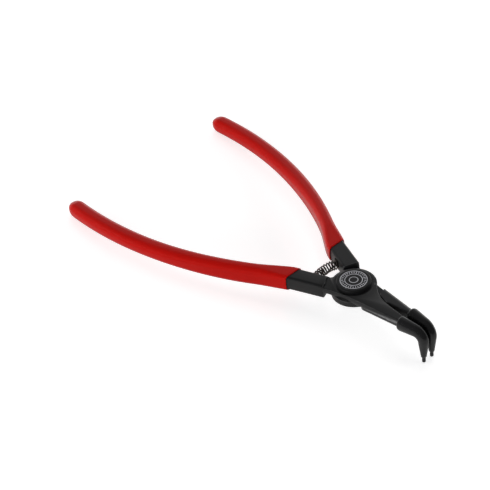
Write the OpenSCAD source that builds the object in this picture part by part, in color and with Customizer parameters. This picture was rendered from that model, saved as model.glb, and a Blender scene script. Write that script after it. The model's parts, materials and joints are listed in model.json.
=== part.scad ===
// Circlip pliers with bent tips for outer rings, standing on their tips and handle ends.
// Two levers lap at a riveted joint without crossing, so closing the handles spreads the tips.
// Each lever is drawn in the tool's own axes: pivot at the origin, tips towards +X, rivet head
// up, and the lap between the two plates in the plane z = 0. One module sets the tool down.

/* [Joint] */
// Radius of the round eye of each lever
eye_r = 9.2; // [8.6:0.1:9.8]
// Thickness of each lap plate
plate_t = 2.5; // [2.2:0.1:3]
// Radius of the rivet's shank
shank_r = 4; // [3:0.1:4.6]
// Running clearance of the shank in the levers, on the radius
shank_clearance = 0.04; // [0.02:0.01:0.08]
// Clearance between the faces that slide on each other
lap_clearance = 0.04; // [0.02:0.01:0.08]
// Radius of the rivet's head
head_r = 7; // [6:0.1:7.5]
// Height of the rivet's head over its seat
head_h = 1.75; // [1.2:0.05:2.4]
// Rounding of the head's rim
head_round = 0.6; // [0.3:0.05:1]
// Radius of the closing head under the joint
closing_r = 5.6; // [5:0.1:7]
// Height of the closing head
closing_h = 0.9; // [0.6:0.1:1.4]
// Width of the faced ring round the rivet's head
seat_ring_w = 1; // [0.5:0.1:1.4]
// Depth of the faced ring
seat_depth = 0.15; // [0.05:0.05:0.4]

/* [Necks and jaws] */
// Width of each neck
neck_w = 7; // [6:0.1:7.6]
// Height of each neck
neck_h = 6.5; // [6:0.1:7.5]
// Rounding of the neck's long edges
neck_round = 0.9; // [0.4:0.1:1.4]
// Angle of each neck to the tool's axis
neck_angle = 21; // [17:0.5:24]
// Distance of each neck's middle line from the pivot
neck_offset = 3.6; // [3.3:0.05:4.2]
// Gap between a neck's front face and the other lever's eye
neck_gap = 1.1; // [0.6:0.1:1.6]
// Width of the facing cut that steps the neck down to the plate
step_w = 0.9; // [0.4:0.1:1.4]
// Distance from the pivot to the end of the flat jaw
jaw_reach = 28.3; // [25:0.1:30]
// Angle of the jaw's inner edge to the tool's axis
jaw_in_angle = 7; // [5:0.25:9]
// Distance of the jaw's inner edge line past the pivot
jaw_in_offset = 1.9; // [1.5:0.05:2.2]
// Angle of the jaw's outer edge to the tool's axis
jaw_out_angle = 6.7; // [5:0.1:8]
// Distance of the jaw's outer edge line from the pivot
jaw_out_offset = 7.97; // [7.4:0.01:8.6]
// Radius of the sweep from the eye into the jaw's inner edge
jaw_sweep_r = 18; // [14:0.5:22]
// Radius of the long hollow between the neck's and the jaw's outer edges
flank_r = 80; // [50:1:100]
// Radius of the corner between the neck and the eye
notch_r = 1.5; // [0.8:0.1:2.4]
// Distance from the eye to the shoulder where the jaw takes its full height
shoulder_gap = 4; // [3:0.1:5]
// Rounding of the jaw's outer corner on its forged side
jaw_round = 2.4; // [1.6:0.1:2.6]
// Gap between the two jaws
jaw_gap = 0.35; // [0.3:0.05:0.8]

/* [Tips] */
// Distance from the pivot to the axis of the tip pins
tip_reach = 39.1; // [37:0.1:42]
// Distance between the axes of the tip pins
tip_spacing = 4.44; // [4.2:0.02:5.5]
// Depth of the pins' ends under the lap plane
tip_drop = 13.95; // [12:0.05:17]
// Radius of the bend's middle line
bend_r = 3.9; // [3.6:0.1:5]
// Half the height of the round tip where it leaves the jaw
tip_root_r = 3.2; // [2.8:0.05:3.3]
// Half the height of the round tip at the end of its bend
tip_bend_r = 2.25; // [1.9:0.05:2.3]
// Height of the round tip's axis over the lap plane
tip_rise = 0.1; // [0:0.05:0.3]
// Radius of the round tip at the pin's shoulder
tip_end_r = 1.15; // [1.1:0.05:1.5]
// Chamfer round the root of the tip, where it stands proud of the jaw
tip_rim = 0.3; // [0.1:0.05:0.5]
// Radius of the pin that enters the ring's hole
pin_r = 0.75; // [0.6:0.05:1]
// Length of the pin
pin_l = 2.6; // [2:0.1:4]
// Chamfer of the pin's end
pin_chamfer = 0.2; // [0.1:0.05:0.4]

/* [Handles] */
// Length of neck that is left bare in front of the coat
bare_l = 14.3; // [12:0.1:16]
// Angle of the handle's straight part to the tool's axis
handle_angle = 30.6; // [28:0.1:33]
// Length of the bend between the neck and the straight part
neck_bend_l = 2; // [1:0.5:5]
// Length of the straight part
straight_l = 12.4; // [8:0.1:18]
// Radius of the bow of the handle
bow_r = 161.5; // [140:0.5:190]
// Length of the bow
bow_l = 99.5; // [90:0.1:106]
// Width of the steel at the handle's waist
waist_w = 4.8; // [4.2:0.1:6]
// Height of the steel at the waist
waist_h = 7.9; // [7:0.1:9]
// Width of the steel at the handle's rear
rear_w = 6.4; // [5.5:0.1:8]
// Height of the steel at the rear
rear_h = 6.1; // [5.5:0.1:8]
// Thickness of the dipped coat
coat_t = 0.45; // [0.3:0.05:0.8]
// Thickness of the coat at the handle's end
coat_end_t = 1.6; // [1:0.1:3]
// Clearance between the coat and the steel
coat_clearance = 0.04; // [0.02:0.01:0.1]

/* [Spring] */
// Radius of the spring's curved axis round the pivot
spring_axis_r = 16.6; // [16:0.1:18.5]
// Outside radius of the coil
coil_r = 2.2; // [2:0.05:2.6]
// Thickness of the wire
wire_d = 0.6; // [0.5:0.05:0.8]
// Number of turns
turns = 14; // [10:1:16]
// Depth of the pocket in each neck
pocket_depth = 1.7; // [1:0.1:2.4]
// Clearance round the coil in its pocket, on the radius
pocket_clearance = 0.2; // [0.1:0.05:0.3]

/* [Hidden] */
overrun = 1;
arc_facets = 96;
steel_colour = "#2b2b2d";
wire_colour = "#4a4541";
coat_colour = "#b8201c";

// Small steps of one piece into its own next part, so that no two faces lie in one plane
seam = 0.05;
plunge = 0.4;

// Neck: distances are taken along its own middle line, from the foot of the pivot
neck_front = eye_r + neck_gap;
neck_dir = [-cos(neck_angle), sin(neck_angle)];
neck_side = [sin(neck_angle), cos(neck_angle)];
function neck_point(along, across) = along * neck_dir + across * neck_side;

// Jaw: the inner and outer edge lines
jaw_in_dir = [cos(jaw_in_angle), sin(jaw_in_angle)];
jaw_in_side = [-sin(jaw_in_angle), cos(jaw_in_angle)];
function jaw_in_line(x) = x * tan(jaw_in_angle) - jaw_in_offset / cos(jaw_in_angle);
function jaw_out_line(x) = jaw_out_offset / cos(jaw_out_angle) - x * tan(jaw_out_angle);

// Sweep between the eye and the inner edge: an arc that touches both
eye_touch_r = eye_r - seam;
sweep_along = sqrt(pow(eye_touch_r + jaw_sweep_r, 2) - pow(jaw_in_offset + jaw_sweep_r, 2));
sweep_centre = sweep_along * jaw_in_dir - (jaw_in_offset + jaw_sweep_r) * jaw_in_side;
sweep_start = atan2(-sweep_centre.y, -sweep_centre.x);
sweep_end = 90 + jaw_in_angle;
function sweep_y(x) = sweep_centre.y + sqrt(pow(jaw_sweep_r, 2) - pow(x - sweep_centre.x, 2));
function jaw_in(x) = x < sweep_centre.x + jaw_sweep_r * cos(sweep_end) ? sweep_y(x) : jaw_in_line(x);

// Flank: an arc that touches the neck's and the jaw's outer edge lines
flank_turn = neck_angle - jaw_out_angle;
neck_out = neck_offset + neck_w / 2;
flank_corner_x = (neck_out / cos(neck_angle) - jaw_out_offset / cos(jaw_out_angle))
    / (tan(neck_angle) - tan(jaw_out_angle));
flank_corner = [flank_corner_x, jaw_out_line(flank_corner_x)];
flank_centre = flank_corner + flank_r / cos(flank_turn / 2)
    * [sin((neck_angle + jaw_out_angle) / 2), cos((neck_angle + jaw_out_angle) / 2)];

// Corner between the neck's inner edge and the eye
neck_in = neck_offset - neck_w / 2;
notch_across = neck_in + seam - notch_r;
notch_along = sqrt(pow(eye_touch_r + notch_r, 2) - pow(notch_across, 2));
notch_centre = neck_point(notch_along, notch_across);
notch_end = atan2(-notch_centre.y, -notch_centre.x);

function arc(centre, r, from, to, steps) =
    [for (i = [0 : steps]) let (a = from + (to - from) * i / steps) centre + r * [cos(a), sin(a)]];

// Outline of the lap plate without its eye, for the lever on the +Y side
sweep_steps = 10;
flank_steps = 6;
notch_steps = 6;
neck_overlap_share = 0.5;
plate_outline = concat(
    arc(sweep_centre, jaw_sweep_r, sweep_start, sweep_end, sweep_steps),
    [[jaw_reach, jaw_in(jaw_reach)], [jaw_reach, jaw_out_line(jaw_reach)]],
    arc(flank_centre, flank_r, 270 - jaw_out_angle, 270 - neck_angle + flank_turn / 4, flank_steps),
    [neck_point(neck_front + neck_w * neck_overlap_share, neck_offset),
     neck_point(notch_along + notch_r, neck_in + plunge)],
    arc(notch_centre, notch_r, 90 - neck_angle, notch_end, notch_steps),
    [[0, 0]]
);

// Solid through a row of rings, each counter-clockwise as seen from the last one
module loft(rings) {
    n = len(rings[0]);
    last = (len(rings) - 1) * n;
    sides = [for (k = [0 : len(rings) - 2], i = [0 : n - 1])
        let (a = k * n + i, b = k * n + (i + 1) % n)
        each [[a, a + n, b], [b, a + n, b + n]]];
    caps = [[for (i = [0 : n - 1]) i], [for (i = [n - 1 : -1 : 0]) last + i]];
    polyhedron(points = [for (ring = rings) each ring], faces = concat(sides, caps));
}

// Rounded rectangle as [across, up] pairs, clockwise from its right side
corner_steps = 4;
function rounded(w, h, r) =
    [for (q = [0 : 3], i = [0 : corner_steps])
        let (a = 90 * q + 90 * i / corner_steps,
             cx = (q == 0 || q == 3 ? 1 : -1) * (w / 2 - r),
             cy = (q < 2 ? 1 : -1) * (h / 2 - r))
        [cx + r * cos(a), -cy - r * sin(a)]];

// Middle line of neck and handle: place and angle at a distance from the neck's front face
bow_start = bare_l + neck_bend_l + straight_l;
handle_l = bow_start + bow_l;
neck_bend_r = neck_bend_l / ((handle_angle - neck_angle) * PI / 180);
neck_foot = neck_point(neck_front, neck_offset);
function heading(s) =
    s < bare_l ? neck_angle :
    s < bare_l + neck_bend_l ? neck_angle + (handle_angle - neck_angle) * (s - bare_l) / neck_bend_l :
    s < bow_start ? handle_angle :
    handle_angle - (s - bow_start) / bow_r * 180 / PI;
function straight_step(s, a) = s * [-cos(a), sin(a)];
function turned_step(r, from, to) = r * [-(sin(to) - sin(from)), -(cos(to) - cos(from))];
function middle(s) =
    neck_foot
    + straight_step(min(s, bare_l), neck_angle)
    + (s > bare_l ? turned_step(neck_bend_r, neck_angle, heading(min(s, bow_start))) : [0, 0])
    + (s > bare_l + neck_bend_l
        ? straight_step(min(s, bow_start) - bare_l - neck_bend_l, handle_angle) : [0, 0])
    + (s > bow_start ? -turned_step(bow_r, handle_angle, heading(s)) : [0, 0]);

// Section of the steel along the handle: neck, waist, rear
waist_share = 0.15;
rear_share = 0.62;
waist_round_share = 0.4;
rear_round_share = 0.42;
function ease(t) = let (u = max(0, min(1, t))) u * u * (3 - 2 * u);
function along_handle(neck_value, waist_value, rear_value, s) =
    let (t = (s - bare_l) / (handle_l - bare_l))
    t < waist_share
        ? neck_value + (waist_value - neck_value) * ease(t / waist_share)
        : waist_value + (rear_value - waist_value) * ease((t - waist_share) / (rear_share - waist_share));
function steel_section(s, grow, scaling) = rounded(
    scaling * (along_handle(neck_w, waist_w, rear_w, s) + 2 * grow),
    scaling * (along_handle(neck_h, waist_h, rear_h, s) + 2 * grow),
    scaling * (grow + along_handle(neck_round, waist_w * waist_round_share,
        rear_h * rear_round_share, s)));

// Ring of a section at a place on the middle line; a skewed ring keeps the same side walls
function handle_ring(s, grow, scaling, skew) =
    let (a = heading(s), m = middle(s), t = [-cos(a), sin(a)], n = [sin(a), cos(a)])
    [for (p = steel_section(s, grow, scaling))
        let (q = m + p.x * (n + tan(skew) * t)) [q.x, q.y, p.y]];

// Rings from a start to the handle's end, with a dome that is as long as half its height
ring_step = 5;
dome_steps = 6;
dome_end_share = 0.15;
mouth_run = 12;
function dome_l(grow) = rear_h / 2 + grow;
function handle_rings(from, to, grow, mouth) =
    let (body = to - dome_l(grow) - from, count = round(body / ring_step))
    concat(
        [for (i = [0 : count])
            let (s = from + body * i / count)
            handle_ring(s, grow, 1, mouth ? heading(s) * (1 - ease((s - from) / mouth_run)) : 0)],
        [for (i = [1 : dome_steps])
            let (a = 90 * i / (dome_steps + dome_end_share))
            handle_ring(to - dome_l(grow) * (1 - sin(a)), grow, cos(a), 0)]);

// Middle line of a round tip: along the jaw, round the bend and down
tip_start = [jaw_reach - plunge, (jaw_in(jaw_reach) + jaw_out_line(jaw_reach)) / 2];
tip_foot = [tip_reach, tip_spacing / 2];
tip_run = norm(tip_foot - tip_start);
tip_dir = (tip_foot - tip_start) / tip_run;
tip_straight = tip_run - bend_r;
shoulder_depth = tip_drop - pin_l + tip_rise;
bend_steps = 8;
tip_sides = 24;
tip_width_share = 0.88;
function tip_ring(out, depth, turn, r, width_share) =
    [for (i = [0 : tip_sides - 1])
        let (a = 360 * i / tip_sides, up = r * sin(a),
             p = tip_start + (out + up * sin(turn)) * tip_dir
                 + width_share * r * cos(a) * [-tip_dir.y, tip_dir.x])
        [p.x, p.y, up * cos(turn) - depth + tip_rise]];
function bend_radius(i) =
    tip_root_r + (tip_bend_r - tip_root_r) * (tip_straight + bend_r * PI / 2 * i / bend_steps)
        / (tip_straight + bend_r * PI / 2);
tip_rings = concat(
    [tip_ring(0, 0, 0, tip_root_r - tip_rim, tip_width_share)],
    [tip_ring(tip_rim, 0, 0, tip_root_r, tip_width_share)],
    [for (i = [0 : bend_steps]) let (a = 90 * i / bend_steps)
        tip_ring(tip_straight + bend_r * sin(a), bend_r * (1 - cos(a)), a, bend_radius(i),
            tip_width_share)],
    [tip_ring(tip_run, shoulder_depth, 90, tip_end_r, 1)]
);

module tip() {
    loft(tip_rings);
    translate([tip_foot.x, tip_foot.y, 0]) {
        translate([0, 0, pin_chamfer - tip_drop])
            cylinder(h = pin_l, r = pin_r, $fn = arc_facets);
        translate([0, 0, -tip_drop])
            cylinder(h = pin_chamfer, r1 = pin_r - pin_chamfer, r2 = pin_r, $fn = arc_facets);
    }
}

// Forged part of the jaw on the far side of the lap: flat inside, round outside
jaw_inner_round = 0.5;
jaw_rings_count = 5;
function jaw_block_in(x) = max(jaw_in(x) + seam, jaw_gap - jaw_in(x));
function jaw_block_ring(x) =
    let (y0 = jaw_block_in(x), y1 = jaw_out_line(x) - seam, low = -plate_t)
    concat(
        [[x, y0, plate_t / 2]],
        [for (a = [180 : 30 : 270])
            [x, y0 + jaw_inner_round * (1 + cos(a)), low + jaw_inner_round * (1 + sin(a))]],
        [for (a = [270 : 15 : 360])
            [x, y1 - jaw_round * (1 - cos(a)), low + jaw_round * (1 + sin(a))]],
        [[x, y1, plate_t / 2]]);
jaw_block_start = eye_r + shoulder_gap / 2;
module jaw_block() {
    difference() {
        loft([for (i = [0 : jaw_rings_count])
            jaw_block_ring(jaw_block_start + (jaw_reach - seam - jaw_block_start) * i / jaw_rings_count)]);
        translate([0, 0, -plate_t - overrun])
            cylinder(h = overrun + plate_t + plunge, r = eye_r + shoulder_gap, $fn = arc_facets);
    }
}

// Lap plate with its eye, and the jaw, with the plate above the lap plane
module lap_head() {
    translate([0, 0, lap_clearance / 2])
        linear_extrude(height = plate_t - lap_clearance / 2) {
            circle(r = eye_r, $fn = arc_facets);
            polygon(plate_outline);
        }
    jaw_block();
}

module neck_bar() {
    rotate([0, 0, 180 - neck_angle])
        translate([neck_front, -neck_offset, 0])
            rotate([90, 0, 90])
                linear_extrude(height = bare_l + plunge)
                    neck_section();
}

module neck_section() {
    inner_w = neck_w - 2 * neck_round;
    inner_h = neck_h - 2 * neck_round;
    square([inner_w, neck_h], center = true);
    square([neck_w, inner_h], center = true);
    for (sx = [-1, 1], sy = [-1, 1])
        translate([sx * inner_w / 2, sy * inner_h / 2])
            circle(r = neck_round, $fn = arc_facets);
}

module tang() {
    loft(handle_rings(bare_l - neck_w / 4, handle_l - coat_end_t, -seam, false));
}

// Pocket for the spring's end, drilled along the spring's axis into the inner face of the neck
face_half_angle = neck_angle + asin(neck_in / spring_axis_r);
pocket_angle = pocket_depth / spring_axis_r * 180 / PI;
module spring_pocket() {
    rotate([0, 0, -face_half_angle - pocket_angle])
        translate([-spring_axis_r, 0, 0])
            rotate([90, 0, 0])
                cylinder(h = pocket_depth + coil_r, r = coil_r + pocket_clearance, $fn = arc_facets);
}

// One lever on the +Y side; the near one has its plate on top
module lever(plate_up) {
    difference() {
        union() {
            mirror([0, 0, plate_up ? 0 : 1]) lap_head();
            neck_bar();
            tang();
            tip();
        }
        mirror([0, 0, plate_up ? 0 : 1])
            translate([0, 0, plate_t])
                cylinder(h = neck_h, r = neck_front + step_w, $fn = arc_facets);
        translate([0, 0, -neck_h])
            cylinder(h = 2 * neck_h, r = shank_r + shank_clearance, $fn = arc_facets);
        if (plate_up)
            translate([0, 0, plate_t - seat_depth])
                cylinder(h = overrun, r = head_r + seat_ring_w, $fn = arc_facets);
        spring_pocket();
    }
}

closing_round_share = 0.7;
module rivet() {
    seat = plate_t - seat_depth;
    grip_l = seat + plate_t + lap_clearance;
    translate([0, 0, seat])
        rotate_extrude($fn = arc_facets)
            rivet_head(head_r, head_h, head_round);
    translate([0, 0, seat - grip_l - closing_h / 2])
        cylinder(h = grip_l + closing_h, r = shank_r, $fn = arc_facets);
    translate([0, 0, seat - grip_l])
        mirror([0, 0, 1])
            rotate_extrude($fn = arc_facets)
                rivet_head(closing_r, closing_h, closing_h * closing_round_share);
}

module rivet_head(r, h, rounding) {
    intersection() {
        square([r, h]);
        union() {
            square([r - rounding, h]);
            square([r, h - rounding]);
            translate([r - rounding, h - rounding])
                circle(r = rounding, $fn = arc_facets);
        }
    }
}

// Coil on a curved axis round the pivot, with its ends in the two pockets
coil_steps = 14;
wire_sides = 8;
end_gap = 0.1;
coil_mid_r = coil_r - wire_d / 2;
spring_half_angle = face_half_angle + pocket_angle - (end_gap + wire_d / 2) / spring_axis_r * 180 / PI;
closed_turns = 1.5;
closed_pitch_share = 1.08;
closed_pitch_angle = closed_pitch_share * wire_d / spring_axis_r * 180 / PI;
open_pitch_angle = (2 * spring_half_angle - 2 * closed_turns * closed_pitch_angle)
    / (turns - 2 * closed_turns);
function coil_angle(turn) =
    -spring_half_angle
    + closed_pitch_angle * (min(turn, closed_turns) + max(0, turn - turns + closed_turns))
    + open_pitch_angle * max(0, min(turn, turns - closed_turns) - closed_turns);
function coil_ring(turn) =
    let (round_pivot = 180 + coil_angle(turn), coil = 360 * turn,
         out = [cos(round_pivot), sin(round_pivot), 0],
         ahead = [-sin(round_pivot), cos(round_pivot), 0],
         spoke = cos(coil) * out + [0, 0, sin(coil)])
    [for (i = [0 : wire_sides - 1]) let (a = 360 * i / wire_sides)
        spring_axis_r * out + (coil_mid_r + wire_d / 2 * cos(a)) * spoke + wire_d / 2 * sin(a) * ahead];

module coil_spring() {
    loft([for (i = [0 : turns * coil_steps]) coil_ring(i / coil_steps)]);
}

module grip() {
    difference() {
        loft(handle_rings(bare_l, handle_l, coat_t, true));
        loft(handle_rings(bare_l - neck_w, handle_l - coat_end_t + coat_clearance, coat_clearance, false));
    }
}

// Rest pose: leaning on the round ends of the coats and on the edges of the pins
end_ball_r = dome_l(coat_t);
end_ball_x = middle(handle_l - end_ball_r).x;
pin_edge = [tip_reach - pin_r + pin_chamfer, -tip_drop];
lean = atan2(-pin_edge.y, pin_edge.x - end_ball_x)
    - asin(end_ball_r / norm(pin_edge - [end_ball_x, 0]));
lift = end_ball_r - end_ball_x * sin(lean);
function leaned_x(p) = p.x * cos(lean) - p.z * sin(lean);
front_x = max([for (ring = tip_rings, p = ring) leaned_x(p)]);
back_x = min([for (ring = handle_rings(bare_l, handle_l, coat_t, true), p = ring) leaned_x(p)]);

module placed() {
    translate([-(front_x + back_x) / 2, 0, lift]) rotate([0, -lean, 0]) children();
}

module near_lever() { color(steel_colour) placed() mirror([0, 1, 0]) lever(true); }
module far_lever() { color(steel_colour) placed() lever(false); }
module joint_rivet() { color(steel_colour) placed() rivet(); }
module opening_spring() { color(wire_colour) placed() coil_spring(); }
module near_grip() { color(coat_colour) placed() mirror([0, 1, 0]) grip(); }
module far_grip() { color(coat_colour) placed() grip(); }

near_lever();
far_lever();
joint_rivet();
opening_spring();
near_grip();
far_grip();
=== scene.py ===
import json
import math

import bpy
from bpy.props import FloatProperty, FloatVectorProperty, IntProperty, PointerProperty
from mathutils import Euler, Matrix, Vector


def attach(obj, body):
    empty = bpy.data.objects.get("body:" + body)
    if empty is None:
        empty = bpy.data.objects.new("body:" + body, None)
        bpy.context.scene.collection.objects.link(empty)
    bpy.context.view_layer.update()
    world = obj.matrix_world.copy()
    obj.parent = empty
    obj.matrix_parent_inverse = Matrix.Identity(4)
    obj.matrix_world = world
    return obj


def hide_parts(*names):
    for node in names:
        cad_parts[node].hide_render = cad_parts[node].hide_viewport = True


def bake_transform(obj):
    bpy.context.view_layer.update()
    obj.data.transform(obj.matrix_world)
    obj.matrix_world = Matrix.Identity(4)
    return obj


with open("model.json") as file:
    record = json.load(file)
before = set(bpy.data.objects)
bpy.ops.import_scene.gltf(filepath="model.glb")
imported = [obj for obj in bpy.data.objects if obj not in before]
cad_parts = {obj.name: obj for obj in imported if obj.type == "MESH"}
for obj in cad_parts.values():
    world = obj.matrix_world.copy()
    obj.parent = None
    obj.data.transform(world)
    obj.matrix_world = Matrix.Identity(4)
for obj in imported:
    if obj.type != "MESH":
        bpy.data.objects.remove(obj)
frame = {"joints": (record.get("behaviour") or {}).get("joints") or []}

bl_info = {
    "name": "Circlip Pliers",
    "version": (1, 0, 0),
    "blender": (4, 5, 0),
    "location": "3D View > Sidebar > Pliers",
    "description": "Bent-tip pliers for outer rings, dressed round the packed model",
    "category": "Object",
}

MM = 0.001
NEAR, FAR = "near_side", "far_side"

# The tool's own axes: pivot at the origin, tips towards +X, rivet head up, lap plane at z = 0
hinge = frame["joints"][0]
pivot = Vector(hinge["pos_m"])
hinge_axis = Vector(hinge["axis"])
tool_to_row = Matrix.Translation(pivot) @ Matrix.Rotation(
    -math.atan2(-hinge_axis.x, hinge_axis.z), 4, "Y")


def length(name, description, millimetres):
    return FloatProperty(name=name, description=description, default=millimetres * MM,
                         min=0.0, unit="LENGTH")


def angle(name, description, degrees):
    return FloatProperty(name=name, description=description, default=math.radians(degrees),
                         subtype="ANGLE", unit="ROTATION")


def colour(name, description, value):
    return FloatVectorProperty(name=name, description=description, default=value,
                               subtype="COLOR", size=3, min=0.0, max=1.0)


class LeverSizes(bpy.types.PropertyGroup):
    """The forged levers in front of the coats."""
    eye_r: length("Eye radius", "Radius of the round eye", 9.2)
    plate_t: length("Plate thickness", "Thickness of each lap plate", 2.5)
    lap_gap: length("Lap gap", "Half the gap between the two plates", 0.02)
    edge_break: length("Edge break", "Bevel along the ground plate's edges", 0.28)
    bore_r: length("Bore radius", "Radius of the hole for the rivet", 4.04)
    seat_r: length("Seat radius", "Radius of the faced ring round the rivet's head", 8.0)
    seat_depth: length("Seat depth", "Depth of the faced ring", 0.15)
    neck_w: length("Neck width", "Width of each neck", 7.0)
    neck_h: length("Neck height", "Height of each neck", 6.5)
    neck_round: length("Neck rounding", "Rounding of the neck's long edges", 0.9)
    neck_angle: angle("Neck angle", "Angle of each neck to the tool's axis", 21.0)
    neck_offset: length("Neck offset", "Distance of the neck's middle line from the pivot", 3.6)
    neck_front: length("Neck front", "Distance along the neck to its front face", 10.3)
    step_r: length("Step radius", "Radius of the cut that steps the neck down to the plate", 11.2)
    jaw_reach: length("Jaw reach", "Distance from the pivot to the end of the flat jaw", 28.3)
    jaw_in_angle: angle("Jaw inner angle", "Angle of the jaw's inner edge", 7.0)
    jaw_in_offset: length("Jaw inner offset", "Distance of the inner edge past the pivot", 1.9)
    jaw_out_angle: angle("Jaw outer angle", "Angle of the jaw's outer edge", 6.7)
    jaw_out_offset: length("Jaw outer offset", "Distance of the outer edge from the pivot", 7.97)
    jaw_gap: length("Jaw gap", "Gap between the two jaws", 0.35)
    jaw_round: length("Jaw rounding", "Rounding of the jaw's outer corner", 2.4)
    jaw_inner_round: length("Inner rounding", "Rounding of the jaw's inner corner", 0.5)
    sweep_r: length("Sweep radius", "Radius of the sweep from the eye into the jaw", 18.0)
    flank_r: length("Flank radius", "Radius of the long hollow along the outer edge", 80.0)
    notch_r: length("Notch radius", "Radius of the corner between the neck and the eye", 1.5)
    shoulder_r: length("Shoulder radius", "Radius of the curved shoulder behind the eye", 12.5)


class TipSizes(bpy.types.PropertyGroup):
    """The round tips that bend down to the pins."""
    reach: length("Reach", "Distance from the pivot to the pins", 39.1)
    spacing: length("Spacing", "Distance between the two pins", 4.44)
    drop: length("Drop", "Depth of the pins' ends under the lap plane", 13.95)
    rise: length("Rise", "Height of the round tip's axis over the lap plane", 0.1)
    rim: length("Rim", "Rounding where the round tip stands proud of the jaw", 0.55)
    bend_r: length("Bend radius", "Radius of the bend's middle line", 3.9)
    root_r: length("Root radius", "Half the height of the tip at its root", 3.2)
    turn_r: length("Turn radius", "Half the height of the tip after the bend", 2.25)
    end_r: length("End radius", "Radius of the tip at the pin's shoulder", 1.15)
    pin_r: length("Pin radius", "Radius of the pin", 0.75)
    pin_l: length("Pin length", "Length of the pin", 2.6)
    pin_round: length("Pin rounding", "Rounding of the pin's end", 0.3)
    width_share: FloatProperty(name="Width share", description="Width of the tip for its height",
                               default=0.88, min=0.5, max=1.0)


class HandleSizes(bpy.types.PropertyGroup):
    """The tangs and the coats round them."""
    bare_l: length("Bare length", "Length of neck in front of the coat", 14.3)
    end_angle: angle("Handle angle", "Angle of the handle's straight part", 30.6)
    bend_l: length("Bend length", "Length of the bend behind the neck", 2.0)
    straight_l: length("Straight length", "Length of the straight part", 12.4)
    bow_r: length("Bow radius", "Radius of the handle's bow", 161.5)
    bow_l: length("Bow length", "Length of the handle's bow", 99.5)
    waist_w: length("Waist width", "Width of the steel at the waist", 4.8)
    waist_h: length("Waist height", "Height of the steel at the waist", 7.9)
    rear_w: length("Rear width", "Width of the steel at the rear", 6.4)
    rear_h: length("Rear height", "Height of the steel at the rear", 6.1)
    coat_t: length("Coat thickness", "Thickness of the dipped coat", 0.45)
    coat_end_t: length("Coat end", "Thickness of the coat at the handle's end", 1.6)
    coat_gap: length("Coat gap", "Clearance between the coat and the steel", 0.04)
    lip_round: length("Lip rounding", "Rounding of the coat's mouth", 0.2)
    crown: length("Crown", "Bulge of the forged sides", 0.3)


class RivetSizes(bpy.types.PropertyGroup):
    """The joint rivet and the print on its head."""
    shank_r: length("Shank radius", "Radius of the shank", 4.0)
    head_r: length("Head radius", "Radius of the head", 7.0)
    head_h: length("Head height", "Height of the head over its seat", 1.75)
    head_round: length("Head rounding", "Rounding of the head's rim", 0.6)
    closing_r: length("Closing radius", "Radius of the closing head under the joint", 5.6)
    closing_h: length("Closing height", "Height of the closing head", 0.9)
    ring_r: length("Ring radius", "Radius of the printed ring", 5.5)
    tick_l: length("Tick length", "Length of the printed ticks", 0.8)
    line_w: length("Line width", "Width of the printed lines", 0.26)
    print_t: length("Print thickness", "Thickness of the print", 0.02)
    ticks: IntProperty(name="Ticks", description="Number of ticks round the dial",
                       default=30, min=4, max=120)


class SpringSizes(bpy.types.PropertyGroup):
    """The opening spring between the necks."""
    axis_r: length("Axis radius", "Radius of the spring's curved axis round the pivot", 16.6)
    coil_r: length("Coil radius", "Outside radius of the coil", 2.2)
    wire_d: length("Wire", "Thickness of the wire", 0.6)
    pocket_depth: length("Pocket depth", "Depth of the pocket in each neck", 1.7)
    pocket_gap: length("Pocket gap", "Clearance round the coil in its pocket", 0.2)
    end_gap: length("End gap", "Gap between the spring's end and its pocket's floor", 0.1)
    turns: IntProperty(name="Turns", description="Number of turns", default=14, min=6, max=20)
    closed: FloatProperty(name="Closed turns", description="Turns laid close at each end",
                          default=1.5, min=0.0, max=4.0)


class Finishes(bpy.types.PropertyGroup):
    """The colours of the pieces."""
    steel: colour("Steel", "Burnished black of the levers and the rivet", (0.010, 0.010, 0.0105))
    # The worn edge colour is partly rubbed wear and partly a painted highlight along the levers'
    # edges
    steel_edge_wear_and_highlight: colour("Worn edge", "Colour of the steel along its rubbed edges",
                       (0.30, 0.30, 0.305))
    wire: colour("Wire", "Colour of the bare spring wire", (0.12, 0.10, 0.09))
    coat: colour("Coat", "Colour of the dipped coats", (0.48, 0.006, 0.004))
    paint: colour("Print", "Colour of the print on the rivet", (0.62, 0.62, 0.66))


class StageSizes(bpy.types.PropertyGroup):
    """The camera and the floor."""
    camera_place: FloatVectorProperty(
        name="Camera", description="Place of the camera from the pivot, in the tool's own axes",
        default=(0.371067, -0.350911, 0.432311), size=3, unit="LENGTH")
    camera_turn: FloatVectorProperty(
        name="Camera turn", description="Turn of the camera in the tool's own axes",
        default=(math.radians(51.3382), math.radians(4.8542), math.radians(47.3462)),
        size=3, subtype="EULER")
    camera_lens: FloatProperty(name="Lens", description="Focal length in millimetres",
                               default=123.80, min=20.0, max=300.0)
    floor_size: length("Floor", "Width of the floor", 4000.0)


def settings(name):
    return getattr(bpy.context.scene, "pliers_" + name)


# ---- modelling by hand, in code --------------------------

ROUND_SIDES = 128
WELD, PEN_WELD = 0.001 * MM, 0.01 * MM  # points nearer than this are merged


def deselect():
    if bpy.context.object and bpy.context.object.mode != "OBJECT":
        bpy.ops.object.mode_set(mode="OBJECT")
    bpy.ops.object.select_all(action="DESELECT")


def make_active(piece):
    deselect()
    piece.select_set(True)
    bpy.context.view_layer.objects.active = piece


def edit(piece):
    """Opens a piece in edit mode with all of it selected."""
    make_active(piece)
    bpy.ops.object.mode_set(mode="EDIT")
    bpy.ops.mesh.select_all(action="SELECT")


def leave():
    bpy.ops.object.mode_set(mode="OBJECT")


def settle():
    """Puts the place, turn and scale of what is selected into its mesh."""
    bpy.ops.object.transform_apply(location=True, rotation=True, scale=True)


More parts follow.
